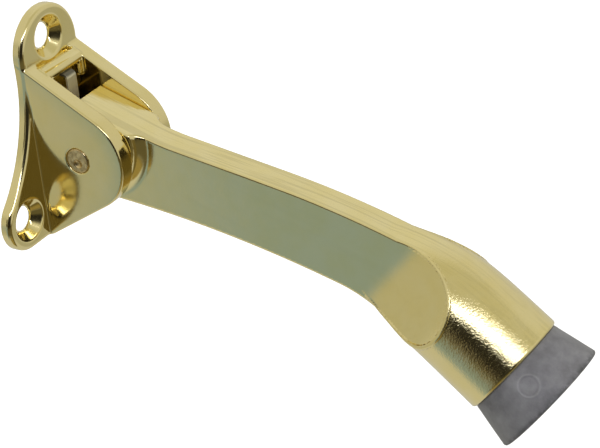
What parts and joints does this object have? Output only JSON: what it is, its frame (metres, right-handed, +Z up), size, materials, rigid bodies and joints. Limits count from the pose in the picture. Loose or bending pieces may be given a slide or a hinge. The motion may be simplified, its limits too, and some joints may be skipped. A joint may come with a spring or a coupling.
{
  "type": "kick-down door holder",
  "caption": "Cast brass door holder with a screw-on cheek bracket, a pinned swinging arm and a flared rubber floor tip in a round socket.",
  "frame": {"origin": "on the door face (the back of the base plate), on the middle plane, at the height of the hinge axis", "axes": "+Z up along the base plate towards the single top screw hole, -Y away from the door, X along the hinge pin"},
  "size_m": [0.047, 0.1299, 0.0839],
  "materials": {
    "bracket_brass": "polished",
    "pin_brass": "satin",
    "spring_steel": "satin",
    "arm_brass": "polished",
    "tip_rubber": "matte",
    "screw_steel": "satin",
    "washer_steel": "satin"
  },
  "bodies": {
    "bracket": {"base_bracket": "bracket_brass", "pivot_pin": "pin_brass", "leaf_spring": "spring_steel"},
    "swing_arm": {"arm": "arm_brass", "rubber_tip": "tip_rubber", "tip_screw": "screw_steel", "tip_washer": "washer_steel"}
  },
  "joints": [
    {"name": "arm_hinge", "type": "hinge", "parent": "bracket", "child": "swing_arm", "pos_m": [0, -0.0137, 0], "axis": [-1, 0, 0], "range_deg": [-65, 95], "deforming": ["leaf_spring"]}
  ]
}
